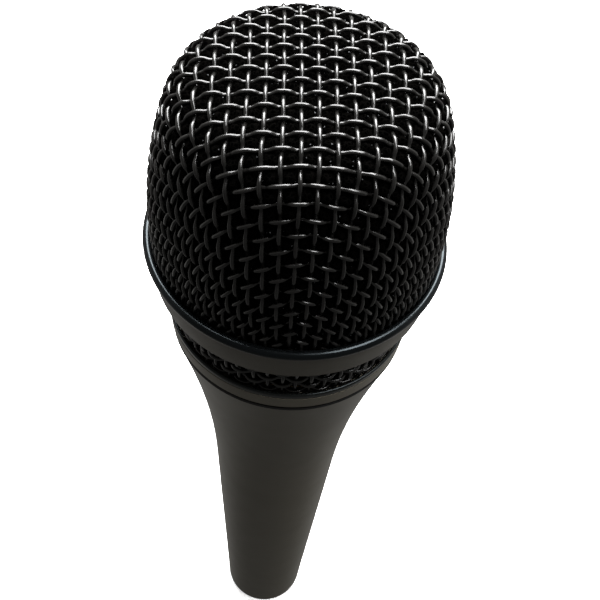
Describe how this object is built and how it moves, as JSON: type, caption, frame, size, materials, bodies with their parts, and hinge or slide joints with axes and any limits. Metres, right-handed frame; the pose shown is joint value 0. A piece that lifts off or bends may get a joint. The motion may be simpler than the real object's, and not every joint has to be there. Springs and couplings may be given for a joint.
{
  "type": "dynamic microphone",
  "caption": "Handheld vocal dynamic microphone with a woven wire grille, banded waist, flared handle and a round signal socket in the tail.",
  "frame": {"origin": "centre of the tail's end face, which the microphone stands on", "axes": "+Z along the microphone's axis from the tail to the grille; +Y towards the back, where the set screw and latch pocket are"},
  "size_m": [0.0492, 0.0492, 0.186],
  "materials": {
    "handle_paint": "satin",
    "band_paint": "satin",
    "mesh_wire": "gloss",
    "gasket_rubber": "matte",
    "shock_rubber": "matte",
    "foam": "matte",
    "turned_brass": "satin",
    "black_plastic": "matte",
    "grey_plastic": "matte",
    "contact_silver": "polished",
    "screw_steel": "satin",
    "soft_iron": "satin",
    "magnet_nickel": "polished",
    "copper_wire": "satin",
    "film": "gloss",
    "cloth": "matte",
    "felt": "matte",
    "board": "satin",
    "lead_red": "satin",
    "lead_blue": "satin",
    "lead_black": "satin"
  },
  "bodies": {
    "handle": {"handle_shell": "handle_paint", "neck_ring": "turned_brass", "capsule_carrier": "black_plastic", "carrier_screws": "screw_steel", "shock_mount_upper": "shock_rubber", "shock_mount_lower": "shock_rubber", "connector_insert": "black_plastic", "contact_pin_1": "contact_silver", "contact_pin_2": "contact_silver", "contact_pin_3": "contact_silver", "insert_screw": "screw_steel", "earth_spring": "contact_silver", "signal_lead_hot": "lead_red", "signal_lead_cold": "lead_blue", "earth_lead": "lead_black"},
    "seal": {"parting_gasket": "gasket_rubber"},
    "grille": {"grille_collar": "handle_paint", "lower_mesh": "mesh_wire", "grille_band": "band_paint", "dome_mesh": "mesh_wire", "foam_windscreen": "foam", "cone_foam": "foam"},
    "capsule": {"capsule_housing": "grey_plastic", "magnet_yoke": "soft_iron", "magnet": "magnet_nickel", "pole_piece": "soft_iron", "diaphragm_surround": "film", "clamp_ring": "black_plastic", "front_cap": "black_plastic", "front_cloth": "cloth", "rear_chamber": "grey_plastic", "rear_felt": "felt", "hum_coil": "copper_wire", "terminal_board": "board"},
    "diaphragm": {"diaphragm": "film", "voice_coil": "copper_wire"}
  },
  "joints": [
    {"name": "grille_lift", "type": "slide", "parent": "handle", "child": "seal", "axis": [0, 0, 1], "range_m": [0, 0.0031]},
    {"name": "grille_turn", "type": "hinge", "parent": "seal", "child": "grille", "pos_m": [0, 0, 0.1334], "axis": [0, 0, 1], "range_deg": [0, 1080]},
    {"name": "capsule_float", "type": "slide", "parent": "handle", "child": "capsule", "axis": [0, 0, 1], "range_m": [-0.0008, 0.0008], "stiffness_N_per_m": 3000, "deforming": ["shock_mount_upper", "shock_mount_lower", "signal_lead_hot", "signal_lead_cold", "earth_lead"]},
    {"name": "diaphragm_travel", "type": "slide", "parent": "capsule", "child": "diaphragm", "axis": [0, 0, 1], "range_m": [-0.0003, 0.0003], "stiffness_N_per_m": 110, "deforming": ["diaphragm_surround"]}
  ],
  "couplings": [
    {"joint": "grille_lift", "follows": "grille_turn", "m_per_rad": 0.00015915}
  ]
}
